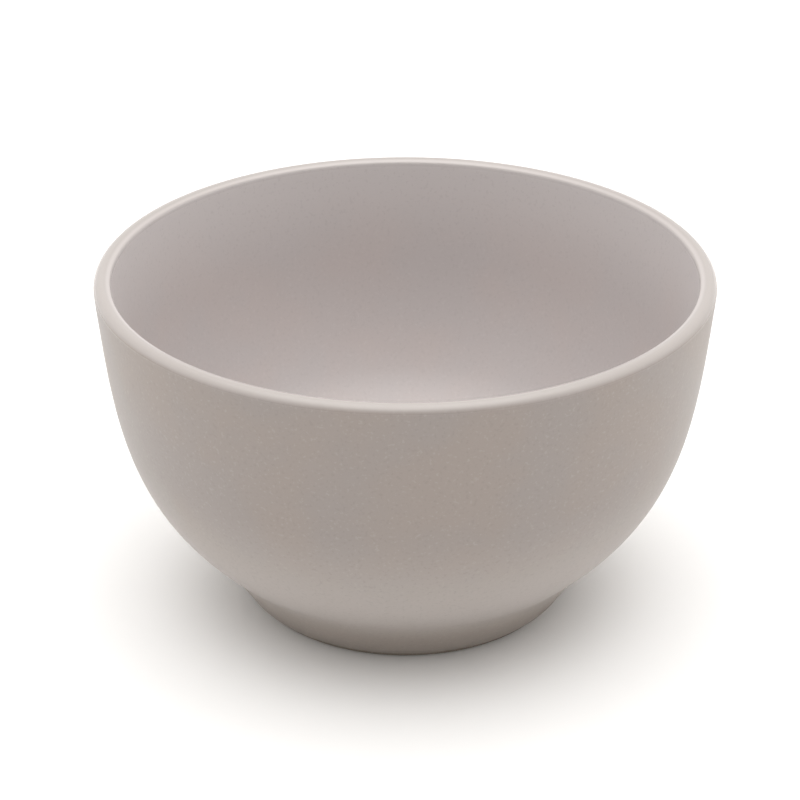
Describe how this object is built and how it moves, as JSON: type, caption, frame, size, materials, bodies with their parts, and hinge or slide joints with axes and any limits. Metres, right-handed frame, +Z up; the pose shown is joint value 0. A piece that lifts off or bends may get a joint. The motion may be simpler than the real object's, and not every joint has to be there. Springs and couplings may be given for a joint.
{
  "type": "ceramic bowl",
  "caption": "Deep round stoneware bowl with a rounded lip, a full belly and a flared foot ring, glazed satin grey-beige inside and out.",
  "frame": {"origin": "on the table, under the centre of the foot ring", "axes": "+Z up along the bowl's axis, from the foot to the rim; the bowl is round, so +X and +Y are any two level directions"},
  "size_m": [0.145, 0.145, 0.083],
  "materials": {
    "fired_clay": "matt, bare fired stoneware",
    "satin_glaze": "satin grey-beige glaze"
  },
  "bodies": {
    "root": {"clay_body": "fired_clay", "foot_ring": "fired_clay", "outside_glaze": "satin_glaze", "inside_glaze": "satin_glaze", "underside_glaze": "satin_glaze"}
  },
  "joints": []
}
